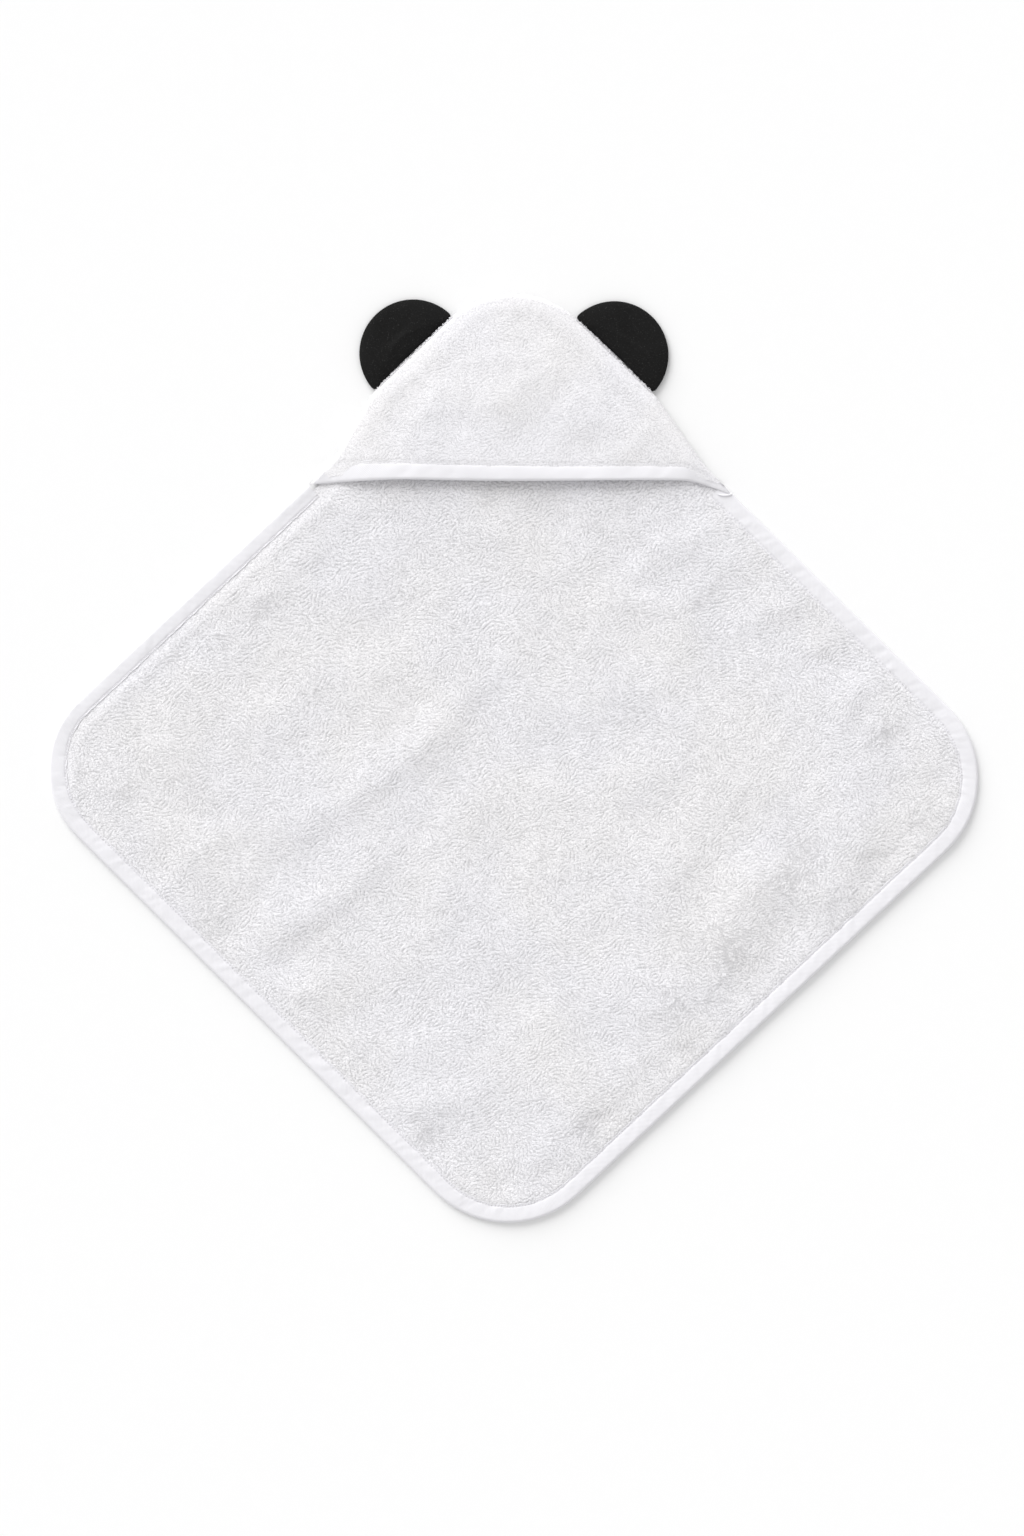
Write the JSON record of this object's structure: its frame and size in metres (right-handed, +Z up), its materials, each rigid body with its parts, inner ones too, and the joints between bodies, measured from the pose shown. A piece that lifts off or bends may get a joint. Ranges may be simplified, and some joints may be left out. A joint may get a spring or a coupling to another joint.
{
  "type": "hooded baby towel",
  "caption": "Square terry baby towel with bound edges and rounded corners, lying open, with a corner hood bound along its lip and a pair of half-round black ears.",
  "frame": {"origin": "on the surface the towel lies on, under the middle of its box", "axes": "+Z up out of the terry side, +Y towards the hood corner, +X to the right seen from above"},
  "size_m": [0.9196, 0.9187, 0.0181],
  "materials": {
    "towel_terry": "white looped terry",
    "hood_terry": "white short-pile terry",
    "binding": "white woven bias binding",
    "white_thread": "white sewing thread",
    "ear_cloth": "black short-pile velour",
    "wadding": "soft white wadding",
    "black_thread": "black sewing thread"
  },
  "bodies": {
    "towel": {"centre_terry": "towel_terry", "centre_edge_binding": "binding", "centre_binding_stitch": "white_thread"},
    "left_wrap": {"left_wrap_terry": "towel_terry", "left_wrap_edge_binding": "binding", "left_wrap_binding_stitch": "white_thread"},
    "right_wrap": {"right_wrap_terry": "towel_terry", "right_wrap_edge_binding": "binding", "right_wrap_binding_stitch": "white_thread"},
    "foot_fold": {"foot_fold_terry": "towel_terry", "foot_fold_edge_binding": "binding", "foot_fold_binding_stitch": "white_thread"},
    "hood_back": {"hood_back_terry": "towel_terry", "hood_back_edge_binding": "binding", "hood_back_binding_stitch": "white_thread", "hood_rim_terry": "hood_terry", "hood_lip_binding_ends": "binding", "hood_lip_stitch_ends": "white_thread", "hood_seam_allowance": "hood_terry", "hood_seam_thread": "white_thread"},
    "hood_front": {"hood_front_terry": "hood_terry", "hood_lip_binding": "binding", "hood_lip_stitch": "white_thread"},
    "left_ear": {"left_ear_front_cover": "ear_cloth", "left_ear_back_cover": "ear_cloth", "left_ear_wadding": "wadding", "left_ear_seam_thread": "black_thread"},
    "right_ear": {"right_ear_front_cover": "ear_cloth", "right_ear_back_cover": "ear_cloth", "right_ear_wadding": "wadding", "right_ear_seam_thread": "black_thread"}
  },
  "joints": [
    {"name": "left_wrap_fold", "type": "hinge", "parent": "towel", "child": "left_wrap", "pos_m": [-0.256, 0, 0.008], "axis": [0, 1, 0], "range_deg": [0, 170]},
    {"name": "right_wrap_fold", "type": "hinge", "parent": "towel", "child": "right_wrap", "pos_m": [0.258, 0, 0.008], "axis": [0, -1, 0], "range_deg": [0, 170]},
    {"name": "foot_fold_up", "type": "hinge", "parent": "towel", "child": "foot_fold", "pos_m": [0, -0.268, 0.008], "axis": [-1, 0, 0], "range_deg": [0, 170]},
    {"name": "hood_fold_down", "type": "hinge", "parent": "towel", "child": "hood_back", "pos_m": [0, 0.235, 0.011], "axis": [1, 0, 0], "range_deg": [0, 160]},
    {"name": "hood_open", "type": "hinge", "parent": "hood_back", "child": "hood_front", "pos_m": [0, 0.409, 0.018], "axis": [1, 0, 0], "range_deg": [-25, 0]},
    {"name": "left_ear_flap", "type": "hinge", "parent": "hood_back", "child": "left_ear", "pos_m": [-0.09902, 0.40062, 0.009], "axis": [-0.7214, -0.6925, 0], "range_deg": [-100, 0]},
    {"name": "right_ear_flap", "type": "hinge", "parent": "hood_back", "child": "right_ear", "pos_m": [0.09963, 0.39873, 0.009], "axis": [-0.7195, 0.6945, 0], "range_deg": [-100, 0]}
  ]
}
